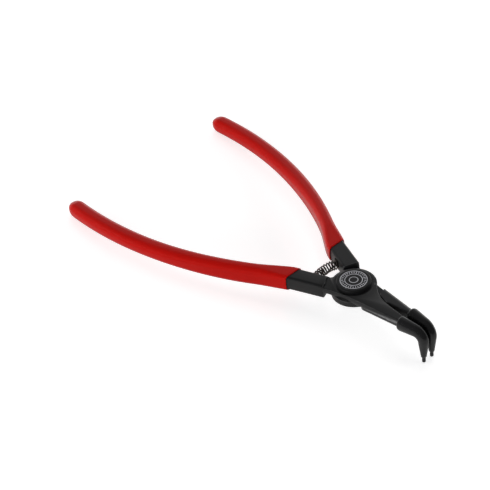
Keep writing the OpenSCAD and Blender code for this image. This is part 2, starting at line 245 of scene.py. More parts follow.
def select_edges(piece, test):
    """Opens a piece in edit mode with the edges selected whose two ends pass a test."""
    edit(piece)
    bpy.ops.mesh.select_all(action="DESELECT")
    bpy.ops.mesh.select_mode(type="EDGE")
    leave()
    points = piece.data.vertices
    for edge in piece.data.edges:
        edge.select = test(points[edge.vertices[0]].co, points[edge.vertices[1]].co)
    bpy.ops.object.mode_set(mode="EDIT")


def modify(piece, kind, **values):
    """Adds a modifier, sets its values and applies it."""
    make_active(piece)
    modifier = piece.modifiers.new(kind.title(), kind)
    for name, value in values.items():
        setattr(modifier, name, value)
    bpy.ops.object.modifier_apply(modifier=modifier.name)


def cut(piece, tool, operation="DIFFERENCE"):
    """Cuts a piece with a tool, or joins the two, and throws the tool away."""
    modify(piece, "BOOLEAN", operation=operation, solver="EXACT", object=tool)
    bpy.data.objects.remove(tool)


def clean(piece):
    """Merges double points and turns every face outwards."""
    edit(piece)
    bpy.ops.mesh.remove_doubles(threshold=WELD)
    bpy.ops.mesh.normals_make_consistent(inside=False)
    leave()


def mirror(piece, scale):
    """Mirrors a piece in the tool's own axes."""
    edit(piece)
    bpy.ops.transform.resize(value=scale, center_override=(0.0, 0.0, 0.0))
    bpy.ops.mesh.flip_normals()
    leave()


def disc(name, radius, depth, bottom, sides=ROUND_SIDES):
    """An upright cylinder round the rivet's axis that stands on a height."""
    deselect()
    bpy.ops.mesh.primitive_cylinder_add(vertices=sides, radius=radius, depth=depth,
                                        location=(0.0, 0.0, bottom + depth / 2))
    piece = bpy.context.object
    piece.name = name
    settle()
    return piece


def bar(name, sides, steps, place):
    """A closed bar: a cylinder cut into rings, each point of which goes to its own place.
    place takes the number of the side and of the ring."""
    piece = disc(name, 1.0, 1.0, 0.0, sides)
    select_edges(piece, lambda a, b: abs(a.z - b.z) > 0.5)
    bpy.ops.mesh.subdivide(number_cuts=steps - 1)
    leave()
    for vertex in piece.data.vertices:
        # a cylinder's first point lies on +Y, so the sides are counted from there
        turn = (math.atan2(vertex.co.y, vertex.co.x) / math.tau - 0.25) * sides
        vertex.co = place(round(turn) % sides, round(vertex.co.z * steps))
    clean(piece)
    return piece


class Pen:
    """Draws an outline in the tool's plane: a vertex that is extruded and spun along."""

    def __init__(self, name, start):
        deselect()
        bpy.ops.mesh.primitive_plane_add(size=MM, enter_editmode=True)
        self.piece = bpy.context.object
        self.piece.name = name
        bpy.ops.mesh.select_mode(type="VERT")
        bpy.ops.mesh.select_all(action="SELECT")
        bpy.ops.mesh.merge(type="CENTER")
        bpy.ops.transform.translate(value=start)
        self.at = start

    def line(self, end):
        bpy.ops.mesh.extrude_vertices_move(TRANSFORM_OT_translate={"value": end - self.at})
        self.at = end

    def arc(self, centre, turn, steps):
        """Turns anticlockwise round a centre, by an angle that may be negative."""
        bpy.ops.mesh.spin(steps=steps, angle=-turn, center=centre, axis=(0.0, 0.0, 1.0))
        self.at = centre + Matrix.Rotation(turn, 3, "Z") @ (self.at - centre)

    def raise_plate(self, bottom, top):
        """Closes the outline and extrudes it between two heights."""
        bpy.ops.mesh.select_all(action="SELECT")
        bpy.ops.mesh.remove_doubles(threshold=PEN_WELD)
        bpy.ops.mesh.edge_face_add()
        bpy.ops.transform.translate(value=(0.0, 0.0, bottom))
        bpy.ops.mesh.extrude_region_move(
            TRANSFORM_OT_translate={"value": (0.0, 0.0, top - bottom)})
        leave()
        clean(self.piece)
        return self.piece


def smooth(piece, sharpest=35.0, weight="FACE_AREA"):
    """Smooth shading with flat faces kept flat."""
    make_active(piece)
    bpy.ops.object.shade_smooth_by_angle(angle=math.radians(sharpest))
    modify(piece, "WEIGHTED_NORMAL", mode=weight, keep_sharp=True)


def set_down(piece, mirrored=False):
    """Takes a finished piece from the tool's own axes to where the model lies."""
    if mirrored:
        mirror(piece, (1.0, -1.0, 1.0))
    make_active(piece)
    piece.matrix_world = tool_to_row
    settle()


# ---- the shape of a lever, drawn for the +Y side ---------

def ray(turn):
    return Vector((math.cos(turn), math.sin(turn), 0.0))


def backwards(turn):
    """The way a neck or handle runs."""
    return Vector((-math.cos(turn), math.sin(turn), 0.0))


def outwards(turn):
    """The way from the middle line of a neck or handle to its outer side."""
    return Vector((math.sin(turn), math.cos(turn), 0.0))


def neck_point(along, across):
    turn = settings("lever").neck_angle
    return along * backwards(turn) + across * outwards(turn)


def jaw_out(x):
    """The outer edge of the jaw, at a distance ahead of the pivot."""
    s = settings("lever")
    return s.jaw_out_offset / math.cos(s.jaw_out_angle) - x * math.tan(s.jaw_out_angle)


def sweep_centre():
    """The middle of the arc that runs from the eye into the jaw's inner edge."""
    s = settings("lever")
    along = math.sqrt((s.eye_r + s.sweep_r) ** 2 - (s.jaw_in_offset + s.sweep_r) ** 2)
    return (along * ray(s.jaw_in_angle)
            - (s.jaw_in_offset + s.sweep_r) * ray(s.jaw_in_angle + math.pi / 2))


def jaw_in(x):
    """The inner edge of the jaw: the sweep, and then the straight."""
    s = settings("lever")
    centre = sweep_centre()
    if x < centre.x - s.sweep_r * math.sin(s.jaw_in_angle):
        return centre.y + math.sqrt(s.sweep_r ** 2 - (x - centre.x) ** 2)
    return x * math.tan(s.jaw_in_angle) - s.jaw_in_offset / math.cos(s.jaw_in_angle)


SWEEP_STEPS, FLANK_STEPS, NOTCH_STEPS, EYE_STEPS = 20, 10, 10, 72
BREAK_STEPS = 3
PLATE_CORNER, NECK_CORNER = math.radians(50), math.radians(60)  # edges sharper than this


def break_edges(piece, corner):
    """Bevels the edges that are sharper than a corner."""
    modify(piece, "BEVEL", width=settings("lever").edge_break, segments=BREAK_STEPS,
           limit_method="ANGLE", angle_limit=corner)


def lap_plate(name):
    """The ground plate with its eye and the flat of the jaw, standing on the lap plane."""
    s = settings("lever")
    quarter = math.pi / 2
    sweep = sweep_centre()
    sweep_from = math.atan2(-sweep.y, -sweep.x) % math.tau
    notch_across = s.neck_offset - s.neck_w / 2 - s.notch_r
    notch = neck_point(math.sqrt((s.eye_r + s.notch_r) ** 2 - notch_across ** 2), notch_across)
    notch_to = math.atan2(-notch.y, -notch.x)
    out_line = s.neck_offset + s.neck_w / 2
    corner_x = ((out_line / math.cos(s.neck_angle)
                 - s.jaw_out_offset / math.cos(s.jaw_out_angle))
                / (math.tan(s.neck_angle) - math.tan(s.jaw_out_angle)))
    half_turn = (s.neck_angle - s.jaw_out_angle) / 2
    flank = (Vector((corner_x, jaw_out(corner_x), 0.0))
             + s.flank_r / math.cos(half_turn) * ray(quarter - s.jaw_out_angle - half_turn))
    inset = s.neck_round
    neck_end = s.neck_front + s.neck_w / 2
    pen = Pen(name, s.eye_r * ray(math.atan2(sweep.y, sweep.x)))
    pen.arc(sweep, s.jaw_in_angle + quarter - sweep_from, SWEEP_STEPS)
    pen.line(Vector((s.jaw_reach, jaw_in(s.jaw_reach), 0.0)))
    pen.line(Vector((s.jaw_reach, jaw_out(s.jaw_reach), 0.0)))
    pen.line(flank - s.flank_r * ray(quarter - s.jaw_out_angle))
    pen.arc(flank, -2 * half_turn, FLANK_STEPS)
    pen.line(neck_point(neck_end + s.neck_w / 2, out_line - inset))
    pen.line(neck_point(neck_end + s.neck_w / 2, s.neck_offset - s.neck_w / 2 + inset))
    pen.line(notch + s.notch_r * ray(quarter - s.neck_angle))
    pen.arc(notch, notch_to - quarter + s.neck_angle, NOTCH_STEPS)
    eye_from = math.atan2(notch.y, notch.x)
    pen.arc(Vector((0.0, 0.0, 0.0)),
            math.tau + math.atan2(sweep.y, sweep.x) - eye_from, EYE_STEPS)
    plate = pen.raise_plate(s.lap_gap, s.plate_t)
    break_edges(plate, PLATE_CORNER)
    return plate


JAW_INNER_STEPS, JAW_OUTER_STEPS, JAW_RINGS = 5, 9, 24
SHOULDER_SPARE = 2 * MM  # length of the blank that the shoulder's cutter takes off


def jaw_block(name):
    """The forged part of the jaw across the lap plane: flat inside, round outside."""
    s = settings("lever")
    seam = s.lap_gap * 2
    start = s.shoulder_r - SHOULDER_SPARE
    end = s.jaw_reach - seam

    def place(side, ring):
        x = start + (end - start) * ring / JAW_RINGS
        inner = max(jaw_in(x) + seam, s.jaw_gap - jaw_in(x))
        outer = jaw_out(x) - seam
        past = side - JAW_INNER_STEPS
        if past < 0:
            r = s.jaw_inner_round
            middle = inner + r
            turn = math.pi + math.pi / 2 * side / (JAW_INNER_STEPS - 1)
        elif past < JAW_OUTER_STEPS:
            r = s.jaw_round
            middle = outer - r
            turn = 1.5 * math.pi + math.pi / 2 * past / (JAW_OUTER_STEPS - 1)
        else:
            return Vector((x, outer if past == JAW_OUTER_STEPS else inner, s.plate_t / 2))
        return Vector((x, middle + r * math.cos(turn), -s.plate_t + r + r * math.sin(turn)))

    block = bar(name, JAW_INNER_STEPS + JAW_OUTER_STEPS + 2, JAW_RINGS, place)
    cut(block, disc("shoulder_cutter", s.shoulder_r, s.plate_t * 1.5, -s.plate_t * 1.25))
    return block


def handle_line(s_along):
    """Place and angle of the middle line of neck and handle, from the neck's front face."""
    s = settings("lever")
    h = settings("handle")
    at, turn = neck_point(s.neck_front, s.neck_offset), s.neck_angle
    bend_end = h.bare_l + h.bend_l
    for from_s, to_s, radius in ((0.0, h.bare_l, None),
                                 (h.bare_l, bend_end, h.bend_l / (h.end_angle - turn)),
                                 (bend_end, bend_end + h.straight_l, None),
                                 (bend_end + h.straight_l, math.inf, -h.bow_r)):
        if s_along <= from_s:
            break
        run = min(s_along, to_s) - from_s
        if radius is None:
            at = at + run * backwards(turn)
        else:
            to = turn + run / radius
            at = at + radius * Vector((math.sin(turn) - math.sin(to),
                                       math.cos(turn) - math.cos(to), 0.0))
            turn = to
    return at, turn


def ease(t):
    """A soft step from 0 to 1."""
    t = max(0.0, min(1.0, t))
    return t * t * (3 - 2 * t)


# Where the waist and the full rear section lie, as shares of the coat's length, and their
# rounding as a share of the width and of the height
WAIST_SHARE, REAR_SHARE, WAIST_ROUND_SHARE, REAR_ROUND_SHARE = 0.15, 0.62, 0.4, 0.42


def handle_end():
    h = settings("handle")
    return h.bare_l + h.bend_l + h.straight_l + h.bow_l


def handle_section(s_along, grow):
    """Width, height, corner rounding and crown of the handle at a place along it."""
    s = settings("lever")
    h = settings("handle")
    t = (s_along - h.bare_l) / (handle_end() - h.bare_l)

    def along(neck, waist, rear):
        if t < WAIST_SHARE:
            return neck + (waist - neck) * ease(t / WAIST_SHARE)
        return waist + (rear - waist) * ease((t - WAIST_SHARE) / (REAR_SHARE - WAIST_SHARE))

    return (along(s.neck_w, h.waist_w, h.rear_w) + 2 * grow,
            along(s.neck_h, h.waist_h, h.rear_h) + 2 * grow,
            along(s.neck_round, h.waist_w * WAIST_ROUND_SHARE,
                  h.rear_h * REAR_ROUND_SHARE) + grow,
            along(h.crown, h.crown / 2, 0.0))


CORNER_SIDES, CROWN_SIDES = 12, 8
DOME_RINGS, DOME_STRETCH, DOME_CLOSING = 14, 1.5, 0.1


def section_outline():
    """Steps round the section: a corner and a place on its arc, or a place on a side."""
    outline = []
    for quarter in range(4):
        outline += [(quarter, step / (CORNER_SIDES - 1), None) for step in range(CORNER_SIDES)]
        if quarter in (1, 3):
            outline += [(quarter, None, step / CROWN_SIDES) for step in range(1, CROWN_SIDES)]
    return outline


def handle_bar(name, start, end, grow, rings):
    """A bar along the middle line, with crowned sides and a domed rear end."""
    h = settings("handle")
    dome = DOME_STRETCH * (h.rear_h / 2 + grow)
    body = end - dome - start
    outline = section_outline()

    def place(side, ring):
        if ring <= rings:
            s_along, scaling = start + body * ring / rings, 1.0
        else:
            turn = math.pi / 2 * (ring - rings) / (DOME_RINGS + DOME_CLOSING)
            s_along, scaling = start + body + dome * math.sin(turn), math.cos(turn)
        at, heading = handle_line(s_along)
        width, height, rounding, crown = handle_section(min(s_along, end), grow)
        quarter, on_arc, on_side = outline[side]
        outward = 1 if quarter in (0, 3) else -1
        across = (width / 2 - crown / 2 - rounding) * outward
        up = (height / 2 - rounding) * (1 if quarter < 2 else -1)
        if on_side is None:
            turn = math.pi / 2 * (quarter + on_arc)
            across += rounding * math.cos(turn)
            up += rounding * math.sin(turn)
        else:
            across += rounding * outward
            up *= 1 - 2 * on_side
        flank = min(1.0, abs(up) / (height / 2))
        bulge = crown * (1 - flank ** 2) * max(0.0, outward * across) / (width / 2)
        across += bulge * outward
        return at + scaling * across * outwards(heading) + Vector((0.0, 0.0, scaling * up))

    return bar(name, len(outline), rings + DOME_RINGS, place)


TIP_SIDES, RIM_RINGS, BEND_RINGS, FALL_RINGS, PIN_RINGS = 48, 4, 16, 6, 5
TIP_OVERLAP, SHOULDER_BREAK, SHOULDER_FLAT, PIN_FILLET = 0.4 * MM, 0.08 * MM, 0.25 * MM, 0.1 * MM


def round_tip(name):
    """The round tip: along the jaw, round the bend and down to the pin."""
    s = settings("lever")
    t = settings("tip")
    middle = (jaw_in(s.jaw_reach) + jaw_out(s.jaw_reach)) / 2
    start = Vector((s.jaw_reach - TIP_OVERLAP, middle, 0.0))
    foot = Vector((t.reach, t.spacing / 2, 0.0))
    run = (foot - start).length
    ahead = (foot - start).normalized()
    aside = Vector((-ahead.y, ahead.x, 0.0))
    straight = run - t.bend_r
    whole = straight + t.bend_r * math.pi / 2
    # each ring: way ahead, depth, turn round the bend, radius and width for its height
    rings = [(0.0, 0.0, 0.0, t.root_r - t.rim, t.width_share)]
    for i in range(1, RIM_RINGS + 1):
        turn = math.pi / 2 * i / RIM_RINGS
        rings.append((2 * t.rim * (1 - math.cos(turn)), 0.0, 0.0,
                      t.root_r - t.rim + t.rim * math.sin(turn), t.width_share))
    for i in range(BEND_RINGS + 1):
        turn = math.pi / 2 * i / BEND_RINGS
        r = t.root_r + (t.turn_r - t.root_r) * (straight + t.bend_r * turn) / whole
        rings.append((straight + t.bend_r * math.sin(turn), t.bend_r * (1 - math.cos(turn)),
                      turn, r, t.width_share))
    shoulder = t.drop - t.pin_l + t.rise
    fall = shoulder - t.bend_r
    for i in range(1, FALL_RINGS + 1):
        share = i / FALL_RINGS
        rings.append((run, t.bend_r + (fall - SHOULDER_FLAT) * share, math.pi / 2,
                      t.turn_r + (t.end_r - t.turn_r) * share,
                      t.width_share + (1 - t.width_share) * share))
    for depth, r in ((shoulder - SHOULDER_BREAK, t.end_r - SHOULDER_BREAK),
                     (shoulder, t.end_r - SHOULDER_FLAT),
                     (shoulder, t.pin_r + PIN_FILLET),
                     (shoulder + PIN_FILLET, t.pin_r)):
        rings.append((run, depth, math.pi / 2, r, 1.0))
    for i in range(PIN_RINGS + 1):
        turn = math.pi / 2 * i / PIN_RINGS
        rings.append((run, t.drop + t.rise - t.pin_round * (1 - math.sin(turn)), math.pi / 2,
                      t.pin_r - t.pin_round * (1 - math.cos(turn)), 1.0))

    def place(side, ring):
        out, depth, turn, r, width_share = rings[ring]
        a = math.tau * side / TIP_SIDES
        up = r * math.sin(a)
        at = start + (out + up * math.sin(turn)) * ahead - width_share * r * math.cos(a) * aside
        return Vector((at.x, at.y, up * math.cos(turn) - depth + t.rise))

    return bar(name, TIP_SIDES, len(rings) - 1, place)


def upside_down(piece):
    mirror(piece, (1.0, 1.0, -1.0))


def face_half_angle():
    """The angle at the pivot between the tool's middle and a neck's inner face."""
    s = settings("lever")
    return s.neck_angle + math.asin((s.neck_offset - s.neck_w / 2) / settings("spring").axis_r)


DRILL_SIDES, BORE_SIDES, TANG_RINGS = 64, 96, 48


def pocket_cutter():
    """The drill for the spring's pocket, square to the spring's axis at the neck's inner face."""
    p = settings("spring")
    turn = face_half_angle() + p.pocket_depth / p.axis_r
    depth = p.pocket_depth + p.coil_r
    deselect()
    middle = Vector((-p.axis_r, -depth / 2, 0.0))
    bpy.ops.mesh.primitive_cylinder_add(vertices=DRILL_SIDES, radius=p.coil_r + p.pocket_gap,
                                        depth=depth, location=middle,
                                        rotation=(math.pi / 2, 0.0, 0.0))
    drill = bpy.context.object
    drill.matrix_world = Matrix.Rotation(-turn, 4, "Z") @ drill.matrix_world
    settle()
    return drill


def lever(name, plate_up):
    """One lever on the +Y side; the near one has its plate on top."""
    s = settings("lever")
    h = settings("handle")
    plate = lap_plate(name)
    cut(plate, jaw_block("jaw_blank"), "UNION")
    cut(plate, disc("rivet_bore", s.bore_r, s.plate_t * 4, -s.plate_t * 2, BORE_SIDES))
    if plate_up:
        cut(plate, disc("seat_cutter", s.seat_r, s.plate_t, s.plate_t - s.seat_depth))
    neck = handle_bar("neck_blank", 0.0, handle_end() - h.coat_end_t, 0.0, TANG_RINGS)
    break_edges(neck, NECK_CORNER)
    step = disc("step_cutter", s.step_r, s.neck_h, s.plate_t)
    if not plate_up:
        upside_down(plate)
        upside_down(step)
    cut(neck, step)
    cut(plate, neck, "UNION")
    cut(plate, round_tip("tip_blank"), "UNION")
    cut(plate, pocket_cutter())
    clean(plate)
    plate.name = name
    return plate


# ---- finishes --------------------------------------------

def new_group(name, inputs, outputs):
    """A node group with its named numbers in and out, and the nodes at its two ends."""
    group = bpy.data.node_groups.new(name, "ShaderNodeTree")
    for socket, value in inputs.items():
        made = group.interface.new_socket(socket, in_out="INPUT", socket_type="NodeSocketFloat")
        made.default_value = value
    for socket in outputs:
        group.interface.new_socket(socket, in_out="OUTPUT", socket_type="NodeSocketFloat")
    return group, group.nodes.new("NodeGroupInput"), group.nodes.new("NodeGroupOutput")


def plug(tree, made, inputs):
    """Links a node's inputs to sockets, or sets them to plain values."""
    for socket, value in inputs.items():
        if isinstance(value, bpy.types.NodeSocket):
            tree.links.new(value, made.inputs[socket])
        else:
            made.inputs[socket].default_value = value


def node(tree, kind, inputs=None, **values):
    made = tree.nodes.new(kind)
    for name, value in values.items():
        setattr(made, name, value)
    plug(tree, made, inputs or {})
    return made


def maths(tree, operation, *values):
    made = node(tree, "ShaderNodeMath", dict(enumerate(values)), operation=operation)
    return made.outputs[0]


def map_range(tree, value, source, result=(0.0, 1.0), kind="LINEAR"):
    made = node(tree, "ShaderNodeMapRange", {
        "Value": value, "From Min": source[0], "From Max": source[1],
        "To Min": result[0], "To Max": result[1]}, interpolation_type=kind)
    return made.outputs["Result"]


def object_place(tree):
    return node(tree, "ShaderNodeTexCoord").outputs["Object"]


WIDE_GRAIN, EDGE_NOISE = 0.06, 900.0


def grain_group():
    """Fine grain: a shade round 1 and a height, from two sizes of noise."""
    group, start, end = new_group("fine_grain", {"Scale": 2500.0, "Contrast": 0.2},
                                  ("Shade", "Height"))
    place = object_place(group)
    fine = node(group, "ShaderNodeTexNoise", {"Vector": place, "Scale": start.outputs["Scale"],
                                              "Detail": 3.0, "Roughness": 0.6})
    wide_scale = maths(group, "MULTIPLY", start.outputs["Scale"], WIDE_GRAIN)
    wide = node(group, "ShaderNodeTexNoise", {"Vector": place, "Scale": wide_scale,
                                              "Detail": 2.0})
    both = maths(group, "ADD", fine.outputs["Fac"], wide.outputs["Fac"])
    centred = maths(group, "SUBTRACT", both, 1.0)
    plug(group, end, {
        "Shade": maths(group, "MULTIPLY_ADD", centred, start.outputs["Contrast"], 1.0),
        "Height": fine.outputs["Fac"]})


def edge_group():
    """Rubbed edges and painted edge highlights: a mask along the sharp outer edges, broken up by
    noise.
    """
    group, start, end = new_group("rubbed_edges_and_highlight", {"From": 0.53, "To": 0.56}, ("Mask",))
    geometry = node(group, "ShaderNodeNewGeometry")
    noise = node(group, "ShaderNodeTexNoise", {"Vector": object_place(group),
                                               "Scale": EDGE_NOISE, "Detail": 2.0})
    edge = map_range(group, geometry.outputs["Pointiness"],
                     (start.outputs["From"], start.outputs["To"]))
    plug(group, end, {"Mask": maths(group, "MULTIPLY", edge, noise.outputs["Fac"])})


def material(name):
    made = bpy.data.materials.new(name)
    made.use_nodes = True
    tree = made.node_tree
    return made, tree, tree.nodes["Principled BSDF"]


def shaded(tree, finish, shade):
    """The colour of a finish times a shade that changes over the surface."""
    base = (*getattr(settings("finish"), finish), 1.0)
    mix = node(tree, "ShaderNodeMix", {"Factor": 1.0, "A": base, "B": shade},
               data_type="RGBA", blend_type="MULTIPLY")
    return mix.outputs["Result"]


def grained(tree, scale, contrast, height, depth):
    """A fine_grain node and a bump of it; gives the shade and the normal."""
    grain = node(tree, "ShaderNodeGroup", node_tree=bpy.data.node_groups["fine_grain"])
    plug(tree, grain, {"Scale": scale, "Contrast": contrast})
    bump = node(tree, "ShaderNodeBump", {"Strength": height, "Distance": depth,
                                         "Height": grain.outputs["Height"]})
    return grain.outputs["Shade"], bump.outputs["Normal"]


# The levers' roughness on the jaws and on the round tips, and the length over which it changes
STEEL_ROUGHNESS, ROUGHNESS_OVER = (0.30, 0.17), 0.5 * MM


def burnished_steel(name):
    """The levers: lighter along the edges, partly rubbed wear and partly a painted highlight;
    glossier on the round tips.
    """
    made, tree, shader = material(name)
    shade, normal = grained(tree, scale=2600.0, contrast=0.35, height=0.25, depth=0.03 * MM)
    edges = node(tree, "ShaderNodeGroup", node_tree=bpy.data.node_groups["rubbed_edges_and_highlight"])
    # Lightens the edges: partly rubbed wear, partly a painted highlight
    worn_and_highlit = node(tree, "ShaderNodeMix", {
        "Factor": edges.outputs["Mask"], "A": shaded(tree, "steel", shade),
        "B": (*settings("finish").steel_edge_wear_and_highlight, 1.0)}, data_type="RGBA")
    ahead = node(tree, "ShaderNodeSeparateXYZ", {"Vector": object_place(tree)})
    jaw_end = (tool_to_row @ Vector((settings("lever").jaw_reach, 0.0, 0.0))).x
    rough = map_range(tree, ahead.outputs["X"], (jaw_end - ROUGHNESS_OVER, jaw_end),
                      STEEL_ROUGHNESS)
    plug(tree, shader, {"Base Color": worn_and_highlit.outputs["Result"], "Roughness": rough,
                        "Normal": normal, "Specular IOR Level": 0.47})
    return made


def turned_steel(name):
    """The rivet: as the levers, with faint rings from turning round its own axis."""
    made, tree, shader = material(name)
    shade, normal = grained(tree, scale=2600.0, contrast=0.3, height=0.2, depth=0.03 * MM)
    turned = node(tree, "ShaderNodeMapping", {
        "Vector": object_place(tree),
        "Location": tuple(-(tool_to_row.inverted().to_3x3() @ pivot)),
        "Rotation": tuple(tool_to_row.inverted().to_euler())})
    rings = node(tree, "ShaderNodeTexWave", {"Vector": turned.outputs["Vector"], "Scale": 1100.0,
                                             "Distortion": 0.4, "Detail": 1.0},
                 wave_type="RINGS", rings_direction="Z")
    bump = node(tree, "ShaderNodeBump", {"Strength": 0.12, "Distance": 0.02 * MM,
                                         "Height": rings.outputs["Fac"], "Normal": normal})
    plug(tree, shader, {"Base Color": shaded(tree, "steel", shade), "Roughness": 0.36,
                        "Normal": bump.outputs["Normal"], "Specular IOR Level": 0.30})
    return made


def spring_steel(name):
    made, tree, shader = material(name)
    shade, normal = grained(tree, scale=1800.0, contrast=0.6, height=0.2, depth=0.02 * MM)
    plug(tree, shader, {"Base Color": shaded(tree, "wire", shade), "Metallic": 0.85,
                        "Roughness": 0.38, "Normal": normal})
    return made


def dipped_coat(name):
    """Soft plastic that ran smooth: its gloss changes slowly under a faint grain."""
    made, tree, shader = material(name)
    shade, normal = grained(tree, scale=900.0, contrast=0.10, height=0.10, depth=0.02 * MM)
    waves = node(tree, "ShaderNodeTexNoise", {"Vector": object_place(tree), "Scale": 60.0,
                                              "Detail": 1.0})
    plug(tree, shader, {"Base Color": shaded(tree, "coat", shade), "Normal": normal,
                        "Roughness": map_range(tree, waves.outputs["Fac"], (0.3, 0.7),
                                               (0.22, 0.26)),
                        "Specular IOR Level": 0.40, "Specular Tint": (1.0, 0.14, 0.12, 1.0),
                        "Sheen Weight": 0.20, "Sheen Roughness": 0.30})
    return made


def pad_print(name):
    made, tree, shader = material(name)
    shade, normal = grained(tree, scale=4000.0, contrast=0.6, height=0.2, depth=0.01 * MM)
    plug(tree, shader, {"Base Color": shaded(tree, "paint", shade), "Normal": normal,
                        "Roughness": 0.55})
    return made


def dress(piece, finish, body=None, stands_for=None):
    """Gives a piece its finish, slot and body, and the node that it replaces."""
    piece.data.materials.clear()
    piece.data.materials.append(finish)
    if stands_for:
        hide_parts(stands_for)
    if body:
        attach(piece, body)


# ---- operators -------------------------------------------

class PLIERS_OT_levers(bpy.types.Operator):
    """Model the two levers: plate, jaw, round tip, neck and the tang inside the coat"""
    bl_idname = "pliers.add_levers"
    bl_label = "Levers"

    def execute(self, context):
        steel = burnished_steel("burnished_steel")
        for name, plate_up, body in (("near_lever", True, NEAR), ("far_lever", False, FAR)):
            piece = lever(name + "_forging", plate_up)
            smooth(piece)
            set_down(piece, mirrored=plate_up)
            dress(piece, steel, body, name)
        return {"FINISHED"}


HEAD_STEPS, CLOSING_ROUND_SHARE = 8, 0.7
DIAL_SHARES = (1.0, 0.66, 0.34)
LONG_TICK, LONG_TICK_EVERY = 1.4, 5


class PLIERS_OT_rivet(bpy.types.Operator):
    """Model the joint rivet with its two heads, and the dial that is printed on it"""
    bl_idname = "pliers.add_rivet"
    bl_label = "Rivet"

    def execute(self, context):
        s = settings("lever")
        r = settings("rivet")
        seat = s.plate_t - s.seat_depth
        closing_seat = -s.plate_t - 2 * s.lap_gap
        head = self.head("joint_rivet_heads", r.head_r, r.head_h, r.head_round)
        bpy.ops.transform.translate(value=(0.0, 0.0, seat))
        settle()
        closing = self.head("closing_head", r.closing_r, r.closing_h,
                            r.closing_h * CLOSING_ROUND_SHARE)
        upside_down(closing)
        bpy.ops.transform.translate(value=(0.0, 0.0, closing_seat))
        settle()
        shank = disc("shank", r.shank_r, seat - closing_seat + r.closing_h,
                     closing_seat - r.closing_h / 2, BORE_SIDES)
        cut(head, shank, "UNION")
        cut(head, closing, "UNION")
        clean(head)
        smooth(head)
        set_down(head)
        dress(head, turned_steel("turned_steel"), NEAR, "joint_rivet")
        dial = self.dial("rivet_dial", seat + r.head_h)
        set_down(dial)
        dress(dial, pad_print("pad_print"), NEAR)
        return {"FINISHED"}

    def head(self, name, radius, height, rounding):
        """A disc with its upper rim rounded by hand."""
        piece = disc(name, radius, height, 0.0)
        select_edges(piece, lambda a, b: min(a.z, b.z) > height / 2)
        bpy.ops.mesh.bevel(offset=rounding, segments=HEAD_STEPS, affect="EDGES")
        leave()
        return piece

    def dial(self, name, height):
        """Three thin rings, with plain ticks inside the largest."""
        r = settings("rivet")
        rings = []
        for share in DIAL_SHARES:
            radius = r.ring_r * share
            ring = disc("printed_ring", radius, r.print_t, height, BORE_SIDES)
            cut(ring, disc("ring_cutter", radius - r.line_w, r.print_t * 4,
                           height - r.print_t, BORE_SIDES))
            rings.append(ring)
        for i in range(r.ticks):
            turn = math.tau * i / r.ticks
            long = r.tick_l * (LONG_TICK if i % LONG_TICK_EVERY == 0 else 1.0)
            middle = r.ring_r - 2 * r.line_w - long / 2
            bpy.ops.mesh.primitive_cube_add(size=1.0)
            tick = bpy.context.object
            tick.scale = (long, r.line_w, r.print_t)
            tick.location = (middle * math.cos(turn), middle * math.sin(turn),
                             height + r.print_t / 2)
            tick.rotation_euler = (0.0, 0.0, turn)
            settle()
            rings.append(tick)
        make_active(rings[0])
        for piece in rings:
            piece.select_set(True)
        bpy.ops.object.join()
        rings[0].name = name
        return rings[0]


COIL_STEPS, WIRE_SIDES = 20, 10
CLOSED_PITCH = 1.08


class PLIERS_OT_spring(bpy.types.Operator):
    """Model the opening spring between the two necks"""
    bl_idname = "pliers.add_spring"
    bl_label = "Spring"

    def execute(self, context):
        p = settings("spring")
        half_angle = face_half_angle() + (p.pocket_depth - p.end_gap - p.wire_d / 2) / p.axis_r
        closed_step = CLOSED_PITCH * p.wire_d / p.axis_r
        open_step = (2 * half_angle - 2 * p.closed * closed_step) / (p.turns - 2 * p.closed)
        mid_r = p.coil_r - p.wire_d / 2

        def place(side, ring):
            turn = ring / COIL_STEPS
            close_turns = min(turn, p.closed) + max(0.0, turn - p.turns + p.closed)
            open_turns = max(0.0, min(turn, p.turns - p.closed) - p.closed)
            round_pivot = (math.pi - half_angle + closed_step * close_turns
                           + open_step * open_turns)
            out = ray(round_pivot)
            ahead = ray(round_pivot + math.pi / 2)
            spoke = math.cos(math.tau * turn) * out + Vector((0, 0, math.sin(math.tau * turn)))
            a = math.tau * side / WIRE_SIDES
            return (p.axis_r * out + (mid_r + p.wire_d / 2 * math.cos(a)) * spoke
                    + p.wire_d / 2 * math.sin(a) * ahead)

        piece = bar("opening_spring_coil", WIRE_SIDES, p.turns * COIL_STEPS, place)
        smooth(piece, sharpest=60.0)
        set_down(piece)
        dress(piece, spring_steel("spring_steel"), None, "opening_spring")
        ends = [tool_to_row @ (p.axis_r * ray(math.pi + side * half_angle)) for side in (1, -1)]
        tuple(ends[0])
        tuple(ends[1])
        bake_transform(piece)
        return {"FINISHED"}


COAT_RINGS, LIP_STEPS = 80, 4
# The coat is made longer than it is and cut off at its mouth. An edge of the lip lies within
# LIP_NEAR of the mouth's plane, and past these shares of the section's half width and height.
COAT_SPARE, LIP_NEAR = 6 * MM, 0.05 * MM
LIP_SIDE, LIP_CORNER = 0.93, 1.62


